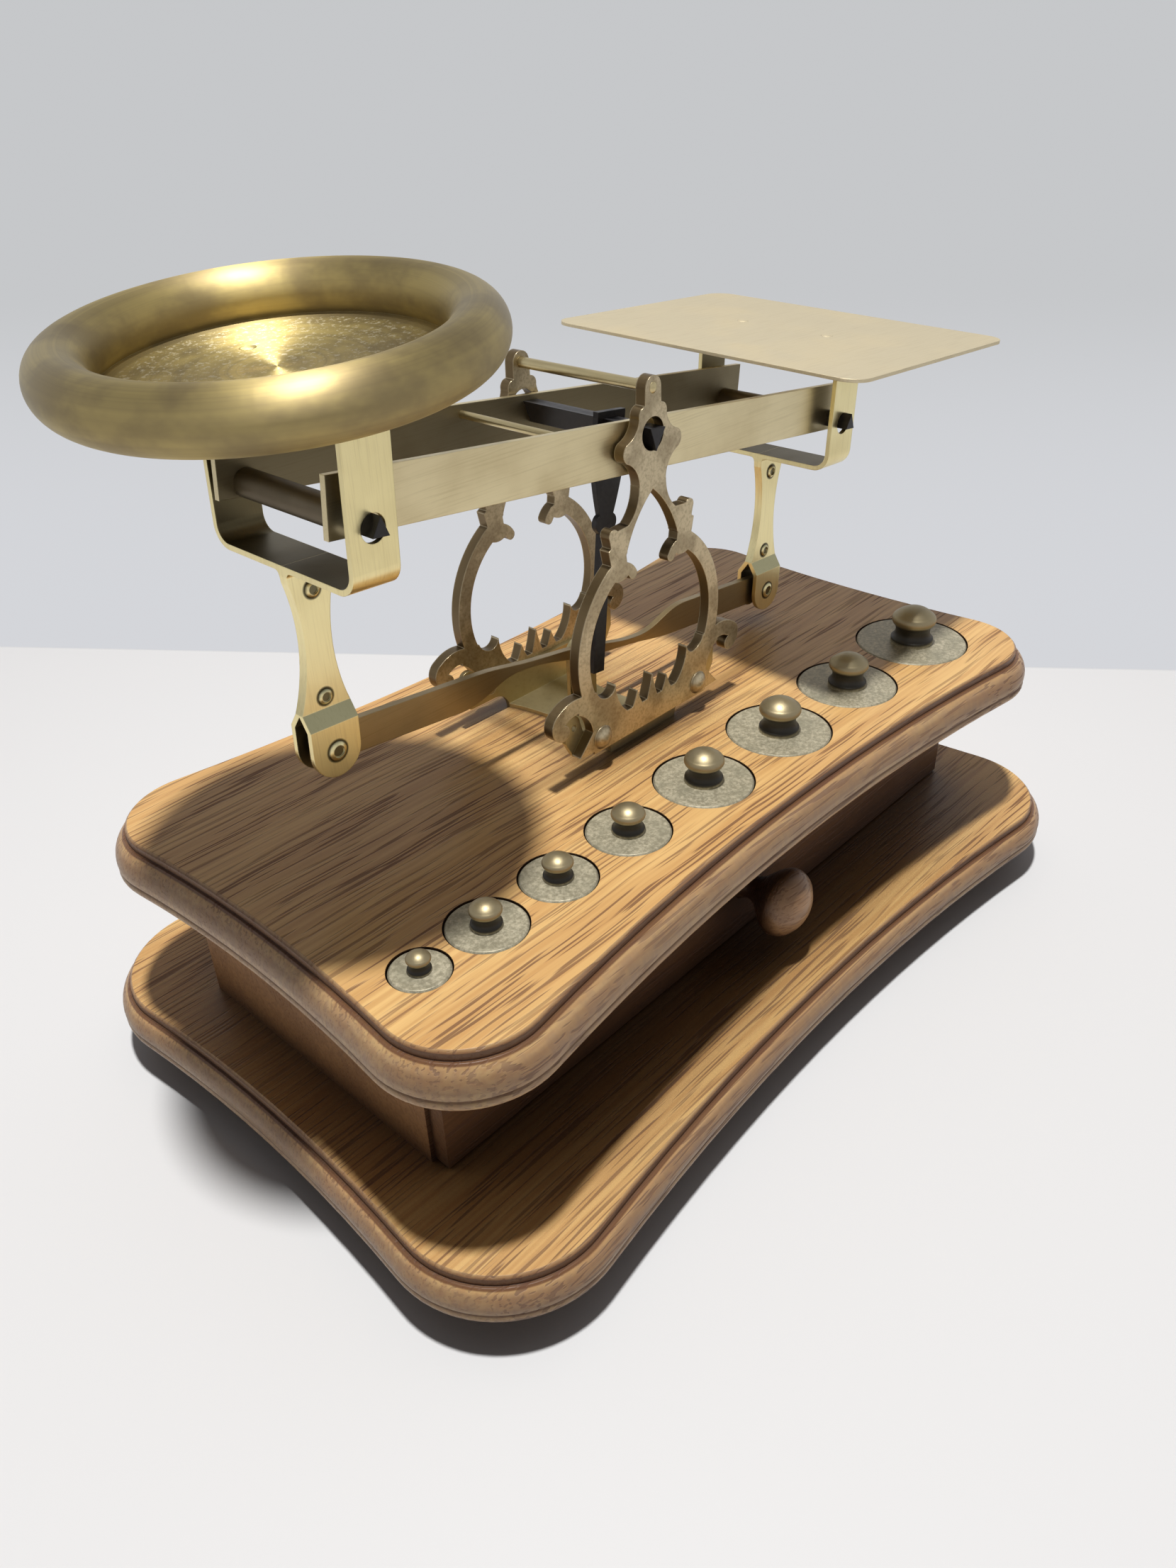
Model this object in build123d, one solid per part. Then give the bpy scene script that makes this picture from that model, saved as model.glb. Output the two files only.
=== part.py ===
from build123d import *
import os
from math import asin, atan2, cos, degrees, radians, sin, sqrt

# Letter balance with a drawer base, in millimetres.
# +Z is up, +X runs from the round pan to the oblong plate, -Y is the drawer side.
# The origin is under the middle of the base, on the surface it stands on.
# A Roberval linkage: the beam rocks on a knife edge, a lower stay copies it,
# and the two stirrups between them carry the pan and the plate without turning.

# Plinth set back under the base boards, so that they seem to float above the table
plinth_x = 204.0
plinth_y = 108.0
plinth_height = 9.5
plinth_corner = 12.0

# Base boards: four round lobes joined by long hollow curves
bottom_thick = 10.3
bottom_lobe_x = 96.6
bottom_lobe_y = 51.9
bottom_lobe_r = 24.4
bottom_mid_x = 118.2
bottom_mid_y = 69.8
bottom_edge = 3.0
top_thick = 11.75
top_lobe_x = 96.0
top_lobe_y = 45.1
top_lobe_r = 18.1
top_mid_x = 111.6
top_mid_y = 56.3
top_edge = 3.5
edge_step = 2.3
edge_fillet_lip = 0.6
edge_quirk = 0.7
bead_height = 2.2

# Box between the boards and its drawer
box_height = 37.2
box_half_x = 104.5
box_front_y = -38.6
box_wall = 5.0
drawer_front_thick = 4.4
drawer_front_inset = 1.1
drawer_gap = 0.5
drawer_wall = 3.0
drawer_floor = 2.0
drawer_height = 29.0
drawer_depth = 72.0
drawer_back_gap = 4.6
drawer_slide_gap = 0.2
runner_width = 4.0
runner_height = 6.0
runner_gap = 0.3
knob_r = 9.1
knob_reach = 11.8
knob_edge = 4.2
knob_length = 18.5
knob_neck_r = 3.6
knob_drop = 3.3
knob_seat = 0.8

# Weights along the front: place along X and radius of each disc
weight_y = -36.2
weight_x = [-99.1, -81.4, -60.5, -37.7, -10.1, 21.3, 53.7, 88.7]
weight_r = [6.3, 8.7, 8.6, 9.8, 12.1, 13.3, 13.3, 15.6]
weight_thick = [4.0, 4.6, 4.6, 5.4, 6.4, 7.0, 7.0, 8.0]
recess_gap = 0.35
weight_knob_share = 0.40

# Middle of the mechanism on the top board
mech_x = -2.3
mech_y = 8.0
centre_edge_z = 73.2
end_edge_drop = 0.3
arm_length = 78.5
rest_tilt = 5.79
stirrup_lean = 2.8

# Side frames, sizes measured from the mechanism's middle and the top board
frame_outer_y = 21.6
frame_thick = 2.8
eye_z = 86.7
eye_r = 2.6
tie_rod_r = 1.25
tie_head_r = 1.2
tie_head = 0.5
bearing_r = 3.7
bearing_rise = 0.03
base_bar_z = 4.6
base_bar_top = 11.6
base_bar_half = 21.5
rivet_x = 18.5
rivet_z = 8.1
rivet_r = 1.7
rivet_head_r = 3.1
rivet_head = 1.6
rivet_fit = 0.04
foot_toe = 26.6
foot_toe_rise = 1.0

# Base plate with upturned flanges
plate_sheet = 1.2
saddle_half = 12.5
saddle_waist = 10.0
flange_half = 28.5
flange_height = 10.4
flange_lift = 4.9
ear_width = 5.0
ear_height = 15.9
ear_foot = 9.4
ear_hole_r = 0.8
flange_seat = 0.02

# Beam
strip_overhang = 6.4
strip_height = 11.7
strip_thick = 1.4
strip_outer_y = 18.2
strip_mid_z = 73.7
knife_height = 3.8
knife_half_width = 1.9
centre_knife_height = 5.0
centre_knife_half = 2.5
knife_out = 25.0
centre_knife_out = 22.6
end_bar_r = 3.0
mid_rod_r = 0.9
mid_rod_x = -22.0
mid_rod_z = 3.6
knife_fit = 0.02
pointer_y = 9.0
pointer_thick = 1.5
pointer_length = 57.0
pointer_half = 1.9
pointer_boss_half = 4.6

# Stirrups
sheet = 1.2
arm_outer_y = 22.6
arm_half = 5.4
arm_bend = 4.6
web_below = 15.1
stem_bend = 1.3
stem_top_half = 5.2
stem_waist_half = 3.3
stem_foot_half = 6.0
shoulder_top = 45.6
shoulder_foot = 48.8
cheek_outer_y = 3.4
clevis_drop = 54.9
clevis_r = 6.0
stirrup_hole_r = 2.8
stirrup_rivet_drops = [19.7, 43.0]
stirrup_rivet_r = 0.9
stirrup_rivet_head_r = 1.9
stirrup_rivet_head = 0.8
eyelet_bore = 0.56
eyelet_depth = 0.7
clevis_pin_r = 1.3
clevis_head_r = 2.4
foot_rivet_y = 13.6
foot_rivet_x = 2.0
foot_rivet_r = 1.5
foot_rivet_head = 0.25
strap_spare = 8.0

# Round pan with a rolled rim
pan_ring_r = 36.3
pan_roll_r = 5.6
pan_wall = 0.9
pan_floor_drop = 3.6
pan_rise = 25.4
pan_turn_y = -5.1
pan_turn_x = 2.3
pan_shift = 0.3

# Oblong plate
tray_x = 75.0
tray_y = 95.6
tray_thick = 0.8
tray_corner = 5.6
tray_rise = 18.4
tray_turn_y = 2.6
tray_turn_x = 1.6

# Lower stay and its bracket
stay_thick = 1.8
stay_half_height = 4.0
stay_waist = 1.5
stay_eye_r = 3.2
stay_pin_r = 1.2
stay_pin_gap = 0.05
open_pivot_gap = 0.3
bracket_half = 3.2
bracket_sheet = 1.2
bracket_gap = 0.15
pin_head = 0.6
pin_head_r = 1.9

box_z = plinth_height + bottom_thick
box_top = box_z + box_height
board_z = box_top + top_thick
frame_inner_y = frame_outer_y - frame_thick
strip_half_length = arm_length + strip_overhang
mech = Location((mech_x, mech_y, board_z))
tilt = radians(rest_tilt)
lean = radians(stirrup_lean)

os.makedirs("parts", exist_ok=True)


def save(name, shape):
    shape.label = name
    export_step(shape, "parts/" + name + ".step")


def in_xz(face, y, thick):
    # a face drawn in X and Z becomes a sheet that starts at y and grows towards +Y
    sheet_solid = extrude(Plane.XZ * face, amount=-thick)
    return Pos(0, y, 0) * sheet_solid


# Boards


def hollow(near, far, lobe_r, across):
    # radius of the hollow curve that touches two lobes and passes the middle of a side
    a = across - near
    return (lobe_r**2 - a**2 - far**2) / (2 * (a - lobe_r))


def moulding(thick, edge):
    # section of the board's rim: distance outside the top outline, and height
    step_foot = thick - edge_step
    bead_top = bead_height
    quirk_top = bead_top + edge_quirk
    lip = edge_fillet_lip
    round_middle = (edge * 0.79, step_foot * 0.62 + quirk_top * 0.38)
    return make_face(
        Curve()
        + [
            Line((-lip * 5, 0), (edge - lip, 0)),
            ThreePointArc((edge - lip, 0), (edge, bead_top / 2), (edge - lip * 0.4, bead_top)),
            Line((edge - lip * 0.4, bead_top), (edge - lip, quirk_top)),
            Line((edge - lip, quirk_top), (edge, quirk_top)),
            ThreePointArc((edge, quirk_top), round_middle, (lip, step_foot)),
            Line((lip, step_foot), (0, step_foot)),
            Line((0, step_foot), (0, thick - lip)),
            Line((0, thick - lip), (-lip, thick)),
            Line((-lip, thick), (-lip * 5, thick)),
            Line((-lip * 5, thick), (-lip * 5, 0)),
        ]
    )


def turned_rim(section, centre, radius, start, sweep_angle):
    # the section stands at the radius and turns about the vertical axis through the centre
    c, s = cos(radians(start)), sin(radians(start))
    origin = (centre[0] + radius * c, centre[1] + radius * s, 0)
    stand = Plane(origin=origin, x_dir=(c, s, 0), z_dir=(s, -c, 0))
    axis = Axis((centre[0], centre[1], 0), (0, 0, 1))
    return revolve(stand * section, axis=axis, revolution_arc=sweep_angle)


def board(lobe_x, lobe_y, lobe_r, mid_x, mid_y, thick, edge):
    long_r = hollow(lobe_y, lobe_x, lobe_r, mid_y)
    short_r = hollow(lobe_x, lobe_y, lobe_r, mid_x)
    long_c = mid_y + long_r
    short_c = mid_x + short_r
    # directions from the lobe at +X +Y towards the two hollow centres
    to_long = atan2(long_c - lobe_y, -lobe_x)
    to_short = atan2(-lobe_y, short_c - lobe_x)
    p_long = (lobe_x + lobe_r * cos(to_long), lobe_y + lobe_r * sin(to_long))
    p_short = (lobe_x + lobe_r * cos(to_short), lobe_y + lobe_r * sin(to_short))
    p_lobe_angle = (to_long + to_short) / 2
    p_lobe = (lobe_x + lobe_r * cos(p_lobe_angle), lobe_y + lobe_r * sin(p_lobe_angle))

    def flip(p, sx, sy):
        return (p[0] * sx, p[1] * sy)

    rim = Curve()
    for sx in (1, -1):
        for sy in (1, -1):
            rim += ThreePointArc(flip(p_short, sx, sy), flip(p_lobe, sx, sy), flip(p_long, sx, sy))
    for sy in (1, -1):
        rim += ThreePointArc(flip(p_long, 1, sy), (0, mid_y * sy), flip(p_long, -1, sy))
    for sx in (1, -1):
        rim += ThreePointArc(flip(p_short, sx, 1), (mid_x * sx, 0), flip(p_short, sx, -1))
    section = moulding(thick, edge)
    inner = -edge_fillet_lip * 3
    core = offset(make_face(rim), amount=inner)
    solid = extrude(core, amount=thick)
    lobe_sweep = degrees(to_long - to_short)
    long_sweep = 2 * degrees(to_long) - 180
    short_sweep = -2 * degrees(to_short)
    starts = {(1, 1): degrees(to_short), (-1, 1): 180 - degrees(to_long)}
    starts[(-1, -1)] = 180 + degrees(to_short)
    starts[(1, -1)] = -degrees(to_long)
    for (sx, sy), start in starts.items():
        solid += turned_rim(section, (lobe_x * sx, lobe_y * sy), lobe_r, start, lobe_sweep)
    back = mirror(section, Plane.YZ)
    for sy, start in ((1, -90 - long_sweep / 2), (-1, 90 - long_sweep / 2)):
        solid += turned_rim(back, (0, long_c * sy), long_r, start, long_sweep)
    for sx, start in ((1, 180 - short_sweep / 2), (-1, -short_sweep / 2)):
        solid += turned_rim(back, (short_c * sx, 0), short_r, start, short_sweep)
    return solid


bottom_board = board(
    bottom_lobe_x, bottom_lobe_y, bottom_lobe_r, bottom_mid_x, bottom_mid_y, bottom_thick, bottom_edge
)
bottom_board = Pos(0, 0, plinth_height) * bottom_board
top_board = board(top_lobe_x, top_lobe_y, top_lobe_r, top_mid_x, top_mid_y, top_thick, top_edge)
top_board = Pos(0, 0, box_top) * top_board
for x, r, deep in zip(weight_x, weight_r, weight_thick):
    top_board -= Pos(x, weight_y, board_z - deep) * extrude(Circle(r + recess_gap), amount=deep)
save("plinth", extrude(RectangleRounded(plinth_x, plinth_y, plinth_corner), amount=plinth_height))
save("bottom_board", bottom_board)
save("top_board", top_board)


# Box


def block(x0, x1, y0, y1, z0, z1):
    middle = Pos((x0 + x1) / 2, (y0 + y1) / 2, (z0 + z1) / 2)
    return middle * Box(x1 - x0, y1 - y0, z1 - z0)


inside_x = box_half_x - box_wall
box_back_y = box_front_y + drawer_depth + drawer_back_gap + box_wall
for name, side in (("box_left_side", -1), ("box_right_side", 1)):
    wall_x = sorted((side * inside_x, side * box_half_x))
    save(name, block(wall_x[0], wall_x[1], box_front_y, box_back_y, box_z, box_top))
save("box_back", block(-inside_x, inside_x, box_back_y - box_wall, box_back_y, box_z, box_top))
runner_back = box_back_y - box_wall
for name, side in (("drawer_guide_left", -1), ("drawer_guide_right", 1)):
    guide_x = sorted((side * (inside_x - runner_width), side * inside_x))
    guide = block(guide_x[0], guide_x[1], box_front_y + box_wall, runner_back, box_z, box_z + runner_height)
    save(name, guide)

# Drawer

drawer_half = inside_x - runner_width - runner_gap
drawer_z = box_z + drawer_slide_gap
drawer_front_y = box_front_y - drawer_front_thick
front_half = box_half_x - drawer_front_inset
drawer_front = block(
    -front_half, front_half, drawer_front_y, box_front_y, box_z + drawer_gap, box_top - drawer_gap
)
knob_z = (box_z + box_top) / 2 - knob_drop
stub_hole = Pos(0, box_front_y, knob_z) * Rot(90, 0, 0) * extrude(Circle(knob_neck_r), amount=drawer_front_thick)
save("drawer_front", drawer_front - stub_hole)
drawer_back_y = box_front_y + drawer_depth
for name, side in (("drawer_left_side", -1), ("drawer_right_side", 1)):
    side_x = sorted((side * (drawer_half - drawer_wall), side * drawer_half))
    wall = block(side_x[0], side_x[1], box_front_y, drawer_back_y, drawer_z, drawer_z + drawer_height)
    save(name, wall)
tray_half = drawer_half - drawer_wall
save(
    "drawer_back",
    block(-tray_half, tray_half, drawer_back_y - drawer_wall, drawer_back_y, drawer_z, drawer_z + drawer_height),
)
save(
    "drawer_bottom",
    block(-tray_half, tray_half, box_front_y, drawer_back_y - drawer_wall, drawer_z, drawer_z + drawer_floor),
)


def cap(rim_r, foot, top):
    # arc of a ball centred on the axis, from the rim up to the axis
    rise = top - foot
    return RadiusArc((rim_r, foot), (0, top), -(rim_r**2 + rise**2) / (2 * rise))


def drawer_knob():
    # turned about its own axis: stub in the drawer front, waisted neck, thick rounded head
    rim = knob_reach
    tip = knob_length
    knob_face_r = knob_r * 0.76
    profile = make_face(
        Curve()
        + [
            Line((0, -drawer_front_thick), (knob_neck_r, -drawer_front_thick)),
            Line((knob_neck_r, -drawer_front_thick), (knob_neck_r, 0)),
            Line((knob_neck_r, 0), (knob_neck_r + knob_seat, 0)),
            Spline(
                (knob_neck_r + knob_seat, 0),
                (knob_neck_r * 0.92, rim * 0.3),
                (knob_r * 0.64, rim * 0.6),
                (knob_r, rim),
            ),
            ThreePointArc((knob_r, rim), (knob_r * 0.95, rim + knob_edge * 0.5), (knob_face_r, rim + knob_edge)),
            cap(knob_face_r, rim + knob_edge, tip),
            Line((0, tip), (0, -drawer_front_thick)),
        ]
    )
    turned = revolve(profile, axis=Axis.Y)
    return Pos(0, drawer_front_y, knob_z) * Rot(0, 0, 180) * turned


save("drawer_knob", drawer_knob())

# Weights


def weight(r, thick):
    # flat disc and mushroom knob turned from one piece
    head_r = r * weight_knob_share
    neck = head_r * 0.78
    profile = make_face(
        Curve()
        + [
            Line((0, 0), (r - 0.3, 0)),
            Line((r - 0.3, 0), (r, 0.3)),
            Line((r, 0.3), (r, thick - 0.4)),
            Line((r, thick - 0.4), (r - 0.4, thick)),
            Line((r - 0.4, thick), (head_r * 0.96, thick)),
            Line((head_r * 0.96, thick), (head_r * 0.96, thick + r * 0.09)),
            ThreePointArc(
                (head_r * 0.96, thick + r * 0.09), (neck, thick + r * 0.22), (head_r * 0.9, thick + r * 0.36)
            ),
            ThreePointArc(
                (head_r * 0.9, thick + r * 0.36), (head_r, thick + r * 0.44), (head_r * 0.86, thick + r * 0.55)
            ),
            cap(head_r * 0.86, thick + r * 0.55, thick + r * 0.69),
            Line((0, thick + r * 0.69), (0, 0)),
        ]
    )
    return revolve(Plane.XZ * profile, axis=Axis.Z)


for number, (x, r, thick) in enumerate(zip(weight_x, weight_r, weight_thick), start=1):
    save("weight_%d" % number, Pos(x, weight_y, board_z - thick) * weight(r, thick))


# Side frames


def curved_bar(start, through, end, width):
    bar = trace(ThreePointArc(start, through, end), line_width=width)
    for tip in (start, end):
        bar += Pos(*tip) * Circle(width / 2)
    return bar


def tooth(x, foot, tip, half):
    return make_face(
        Curve()
        + [
            Line((x - half, foot), (x + half, foot)),
            ThreePointArc((x + half, foot), (x + half * 0.42, foot + (tip - foot) * 0.5), (x, tip)),
            ThreePointArc((x, tip), (x - half * 0.42, foot + (tip - foot) * 0.5), (x - half, foot)),
        ]
    )


hoop_in = [(13.2, 46.2), (22.3, 29.8), (20.4, 20.0)]
hoop_out = [(14.4, 50.4), (26.1, 31.0), (25.0, 20.6)]
waist_half = 4.6
waist_z = 65.0
crotch_z = 64.6
limb_width = 3.8
hook_width = 4.0
tooth_tips = {0.0: (18.0, 2.1), 5.6: (15.6, 2.0)}


def frame_half():
    # everything on the +X side of the frame's middle line
    neck = make_face(
        Curve()
        + [
            Line((0, eye_z), (eye_r, eye_z)),
            Line((eye_r, eye_z), (2.7, 83.2)),
            ThreePointArc((2.7, 83.2), (4.2, 82.5), (4.6, 80.8)),
            ThreePointArc((4.6, 80.8), (5.6, 78.3), (8.2, 76.4)),
            ThreePointArc((8.2, 76.4), (9.9, 74.1), (8.2, 71.9)),
            ThreePointArc((8.2, 71.9), (5.6, 69.6), (waist_half, waist_z)),
            Line((waist_half, waist_z), (0, waist_z)),
            Line((0, waist_z), (0, eye_z)),
        ]
    )
    limb = make_face(
        Curve()
        + [
            Line((0, waist_z + 1.0), (waist_half, waist_z + 1.0)),
            ThreePointArc((waist_half, waist_z + 1.0), (5.6, 61.6), (8.4, 58.2)),
            Line((8.4, 58.2), (15.2, 54.0)),
            Line((15.2, 54.0), (14.4, 50.4)),
            Line((14.4, 50.4), (9.6, 50.6)),
            ThreePointArc((9.6, 50.6), (6.0, 58.2), (0, crotch_z)),
            Line((0, crotch_z), (0, waist_z + 1.0)),
        ]
    )
    outer_bud = make_face(
        Curve()
        + [
            Line((8.2, 58.3), (12.2, 58.0)),
            ThreePointArc((12.2, 58.0), (14.6, 58.2), (14.8, 56.6)),
            ThreePointArc((14.8, 56.6), (14.2, 53.4), (14.2, 50.2)),
            Line((14.2, 50.2), (9.0, 52.0)),
            Line((9.0, 52.0), (8.2, 58.3)),
        ]
    )
    inner_bud = curved_bar((11.4, 48.9), (8.6, 48.2), (6.9, 46.4), 2.6)
    node = make_face(
        Curve()
        + [
            Line((9.4, 52.4), (14.8, 52.4)),
            Line((14.8, 52.4), hoop_out[0]),
            Line(hoop_out[0], hoop_in[0]),
            ThreePointArc(hoop_in[0], (10.4, 45.9), (8.6, 46.6)),
            Line((8.6, 46.6), (9.4, 52.4)),
        ]
    )
    hoop = make_face(
        Curve()
        + [
            ThreePointArc(hoop_out[0], hoop_out[1], hoop_out[2]),
            Line(hoop_out[2], hoop_in[2]),
            ThreePointArc(hoop_in[2], hoop_in[1], hoop_in[0]),
            Line(hoop_in[0], hoop_out[0]),
        ]
    )
    hook = curved_bar((24.0, 19.3), (28.4, 20.0), (32.2, 18.6), hook_width)
    hook += curved_bar((32.2, 18.6), (33.5, 16.7), (31.8, 14.8), hook_width)
    heel = make_face(
        Curve()
        + [
            Line((25.4, 22.0), (20.4, 21.0)),
            ThreePointArc((20.4, 21.0), (18.8, 18.9), (17.0, 18.1)),
            ThreePointArc((17.0, 18.1), (14.9, 18.4), (13.6, 20.4)),
            ThreePointArc((13.6, 20.4), (12.4, 15.4), (9.4, base_bar_top)),
            Line((9.4, base_bar_top), (9.4, base_bar_z)),
            Line((9.4, base_bar_z), (foot_toe, base_bar_z + foot_toe_rise)),
            Line((foot_toe, base_bar_z + foot_toe_rise), (21.8, 10.8)),
            ThreePointArc((21.8, 10.8), (23.2, 14.6), (26.6, 17.4)),
            Line((26.6, 17.4), (25.4, 22.0)),
        ]
    )
    bar = Pos(base_bar_half / 2, (base_bar_z + base_bar_top) / 2) * Rectangle(
        base_bar_half, base_bar_top - base_bar_z
    )
    half = neck + limb + outer_bud + inner_bud + node + hoop + hook + heel + bar
    for x, (tip, half_width) in tooth_tips.items():
        half += tooth(x, base_bar_top - 0.4, tip, half_width)
    return half


def frame_face():
    right = frame_half()
    face = right + mirror(right, Plane.YZ)
    face += Pos(0, eye_z) * Circle(eye_r)
    face -= Pos(0, eye_z) * Circle(tie_rod_r + rivet_fit)
    face -= Pos(0, centre_edge_z + bearing_r - bearing_rise) * Circle(bearing_r)
    for side in (-1, 1):
        face -= Pos(side * rivet_x, rivet_z) * Circle(rivet_r + rivet_fit)
    return face


frame_shape = frame_face()
save("front_frame", mech * in_xz(frame_shape, -frame_outer_y, frame_thick))
save("rear_frame", mech * in_xz(frame_shape, frame_inner_y, frame_thick))


def domed_pin(shank_r, head_r, head, y0, y1, heads):
    # a round pin along Y from y0 to y1, with a low domed head on the named ends
    pin = Pos(0, y0, 0) * Rot(-90, 0, 0) * extrude(Circle(shank_r), amount=y1 - y0)
    dome = make_face(Curve() + [Line((0, 0), (head_r, 0)), cap(head_r, 0, head), Line((0, head), (0, 0))])
    dome = revolve(dome, axis=Axis.Y)
    if "front" in heads:
        pin += Pos(0, y0, 0) * Rot(0, 0, 180) * dome
    if "rear" in heads:
        pin += Pos(0, y1, 0) * dome
    return pin


def eyelet(shank_r, head_r, head, reach):
    # a pin along Y, the same both ways, whose two heads are dished
    pin = domed_pin(shank_r, head_r, head, -reach, reach, "front rear")
    dish = extrude(Circle(head_r * eyelet_bore), amount=head * eyelet_depth)
    for turn in (90, -90):
        pin -= Rot(turn, 0, 0) * Pos(0, 0, reach + head * (1 - eyelet_depth)) * dish
    return pin


tie = domed_pin(tie_rod_r, tie_head_r, tie_head, -frame_outer_y, frame_outer_y, "front rear")
save("tie_rod", mech * Pos(0, 0, eye_z) * tie)
flange_outer_y = frame_inner_y - flange_seat
flange_inner_y = flange_outer_y - plate_sheet
for row, side_y in (("front", -1), ("rear", 1)):
    for column, side_x in (("left", -1), ("right", 1)):
        rivet = domed_pin(rivet_r, rivet_head_r, rivet_head, -frame_outer_y, -flange_inner_y, "front")
        if side_y > 0:
            rivet = Rot(0, 0, 180) * rivet
        save("%s_%s_rivet" % (row, column), mech * Pos(side_x * rivet_x, 0, rivet_z) * rivet)


# Base plate


def base_plate():
    half_y = flange_inner_y
    waist = make_face(
        Curve()
        + [
            ThreePointArc((saddle_half, half_y), (saddle_waist, 0), (saddle_half, -half_y)),
            Line((saddle_half, -half_y), (-saddle_half, -half_y)),
            ThreePointArc((-saddle_half, -half_y), (-saddle_waist, 0), (-saddle_half, half_y)),
            Line((-saddle_half, half_y), (saddle_half, half_y)),
        ]
    )
    plate = extrude(waist, amount=plate_sheet)
    ear_in = flange_half - ear_width
    ear_top = ear_height - ear_width / 2
    lift_end = saddle_half + flange_lift
    side = make_face(
        Curve()
        + [
            Line((0, 0), (saddle_half, 0)),
            ThreePointArc(
                (saddle_half, 0), (saddle_half + flange_lift * 0.3, flange_lift * 0.7), (lift_end, flange_lift)
            ),
            Line((lift_end, flange_lift), (ear_in + ear_width * 0.5, flange_lift)),
            Line((ear_in + ear_width * 0.5, flange_lift), (flange_half, ear_foot)),
            Line((flange_half, ear_foot), (flange_half, ear_top)),
            ThreePointArc((flange_half, ear_top), (flange_half - ear_width / 2, ear_height), (ear_in, ear_top)),
            Line((ear_in, ear_top), (ear_in - ear_width * 0.2, flange_height)),
            Line((ear_in - ear_width * 0.2, flange_height), (0, flange_height)),
            Line((0, flange_height), (0, 0)),
        ]
    )
    side -= Pos(rivet_x, rivet_z) * Circle(rivet_r + rivet_fit)
    side -= Pos(flange_half - ear_width * 0.6, ear_top - ear_hole_r) * Circle(ear_hole_r)
    lug = side + mirror(side, Plane.YZ)
    plate += in_xz(lug, -flange_outer_y, plate_sheet)
    plate += in_xz(lug, flange_inner_y, plate_sheet)
    return plate


save("base_plate", mech * base_plate())

# Linkage places: the beam's end edges at rest, and the stay's pivots below them


def beam_point(x, z):
    # a point of the level beam, measured from the centre edge, after the rest tilt
    return (x * cos(tilt) + z * sin(tilt), -x * sin(tilt) + z * cos(tilt))


def lean_point(x, z):
    return (x * cos(lean) + z * sin(lean), -x * sin(lean) + z * cos(lean))


left_edge = beam_point(-arm_length, -end_edge_drop)
right_edge = beam_point(arm_length, -end_edge_drop)
hang = lean_point(0, -clevis_drop)
stay_x = hang[0]
stay_z = centre_edge_z + hang[1]
beam_place = mech * Pos(0, 0, centre_edge_z) * Rot(0, rest_tilt, 0)
stay_place = mech * Pos(stay_x, 0, stay_z) * Rot(0, rest_tilt, 0)
left_place = mech * Pos(left_edge[0], 0, centre_edge_z + left_edge[1])
right_place = mech * Pos(right_edge[0], 0, centre_edge_z + right_edge[1])


# Beam


def knife(half, height, edge_up, grow=0.0):
    # triangle with its edge at the origin
    sign = -1 if edge_up else 1
    top = grow if edge_up else -grow
    base = sign * (height + grow)
    side = half + grow
    return make_face(
        Curve() + [Line((0, top), (side, base)), Line((side, base), (-side, base)), Line((-side, base), (0, top))]
    )


def beam_strip():
    face = Pos(0, strip_mid_z - centre_edge_z) * Rectangle(2 * strip_half_length, strip_height)
    face -= knife(centre_knife_half, centre_knife_height, False, knife_fit)
    for side in (-1, 1):
        face -= Pos(side * arm_length, -end_edge_drop) * knife(knife_half_width, knife_height, True, knife_fit)
    return face


strip_face = beam_strip()
strip_inner_y = strip_outer_y - strip_thick
save("beam_strip_front", beam_place * in_xz(strip_face, -strip_outer_y, strip_thick))
save("beam_strip_rear", beam_place * in_xz(strip_face, strip_inner_y, strip_thick))
centre_knife = in_xz(knife(centre_knife_half, centre_knife_height, False), -centre_knife_out, 2 * centre_knife_out)
save("centre_knife", beam_place * centre_knife)
bar_drop = knife_height * 0.62
for name, side in (("left", -1), ("right", 1)):
    place = beam_place * Pos(side * arm_length, 0, -end_edge_drop)
    edge = knife(knife_half_width, knife_height, True)
    save(name + "_knife", place * in_xz(edge, -knife_out, 2 * knife_out))
    bar = Pos(0, -bar_drop) * Circle(end_bar_r)
    bar -= knife(knife_half_width, knife_height, True, knife_fit)
    save(name + "_end_bar", place * in_xz(bar, -strip_inner_y, 2 * strip_inner_y))
rod = Pos(mid_rod_x, strip_mid_z - centre_edge_z + mid_rod_z) * Circle(mid_rod_r)
save("beam_rod", beam_place * in_xz(rod, -strip_inner_y, 2 * strip_inner_y))


def pointer():
    # flat tongue on the centre knife: shouldered head, collar, straight blade
    half = make_face(
        Curve()
        + [
            Line((0, centre_knife_height + 1.6), (pointer_boss_half, centre_knife_height + 1.6)),
            Line((pointer_boss_half, centre_knife_height + 1.6), (pointer_boss_half, -8.0)),
            ThreePointArc((pointer_boss_half, -8.0), (3.4, -13.2), (2.3, -17.0)),
            ThreePointArc((2.3, -17.0), (3.5, -18.6), (2.9, -20.6)),
            Line((2.9, -20.6), (pointer_half, -21.6)),
            Line((pointer_half, -21.6), (pointer_half, -pointer_length)),
            Line((pointer_half, -pointer_length), (0, -pointer_length)),
            Line((0, -pointer_length), (0, centre_knife_height + 1.6)),
        ]
    )
    face = half + mirror(half, Plane.YZ)
    face -= knife(centre_knife_half, centre_knife_height, False, knife_fit)
    return in_xz(face, -pointer_y, pointer_thick)


save("pointer", beam_place * pointer())

# Stirrups: two bent straps back to back


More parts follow.
